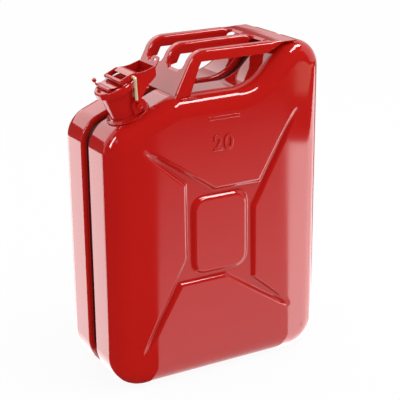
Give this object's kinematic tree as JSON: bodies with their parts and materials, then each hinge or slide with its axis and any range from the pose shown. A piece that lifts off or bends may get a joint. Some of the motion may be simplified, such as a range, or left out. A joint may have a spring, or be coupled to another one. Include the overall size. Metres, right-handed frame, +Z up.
{
  "type": "fuel can",
  "caption": "Pressed steel fuel can with carrying bars over a hand recess and a hinged cap closed by a cam lever with a locking pin.",
  "frame": {"origin": "on the floor under the middle of the can", "axes": "+Z up, +X along the can from the filler neck at -X to the hump at +X, -Y the pressed face towards which the neck is set"},
  "size_m": [0.335, 0.155, 0.47],
  "materials": {
    "red_enamel": "glossy red enamel",
    "bare_steel": "bare",
    "rubber": "matt",
    "zinc": "yellowish zinc plating"
  },
  "bodies": {
    "can": {"front_shell": "red_enamel", "rear_shell": "red_enamel", "seam_weld": "red_enamel", "triple_handle": "red_enamel", "filler_neck": "red_enamel", "neck_collar": "red_enamel", "latch_lug_near": "red_enamel", "latch_lug_far": "red_enamel", "latch_pin_near": "red_enamel", "latch_pin_far": "red_enamel", "cap_hinge_bracket": "red_enamel", "cap_hinge_pin": "red_enamel", "breather_tube": "bare_steel", "breather_clip": "bare_steel"},
    "cap": {"cap": "red_enamel", "cap_gasket": "rubber", "cap_strap": "red_enamel", "strap_knob_pin": "red_enamel", "lever_knuckle": "red_enamel", "lever_pin": "red_enamel"},
    "lever": {"lever": "red_enamel", "lever_bridge": "red_enamel", "lever_tab": "red_enamel"},
    "locking_pin": {"locking_pin": "zinc"}
  },
  "joints": [
    {"name": "cap_hinge", "type": "hinge", "parent": "can", "child": "cap", "pos_m": [-0.09852, -0.035, 0.43479], "axis": [0, 1, 0], "range_deg": [0, 90]},
    {"name": "lever_hinge", "type": "hinge", "parent": "cap", "child": "lever", "pos_m": [-0.13709, -0.035, 0.43905], "axis": [0, -1, 0], "range_deg": [0, 135]},
    {"name": "pin_slide", "type": "slide", "parent": "lever", "child": "locking_pin", "axis": [0, -1, 0], "range_m": [0, 0.05]}
  ],
  "couplings": [
    {"joint": "lever_hinge", "follows": "cap_hinge", "ratio": 1.5}
  ]
}
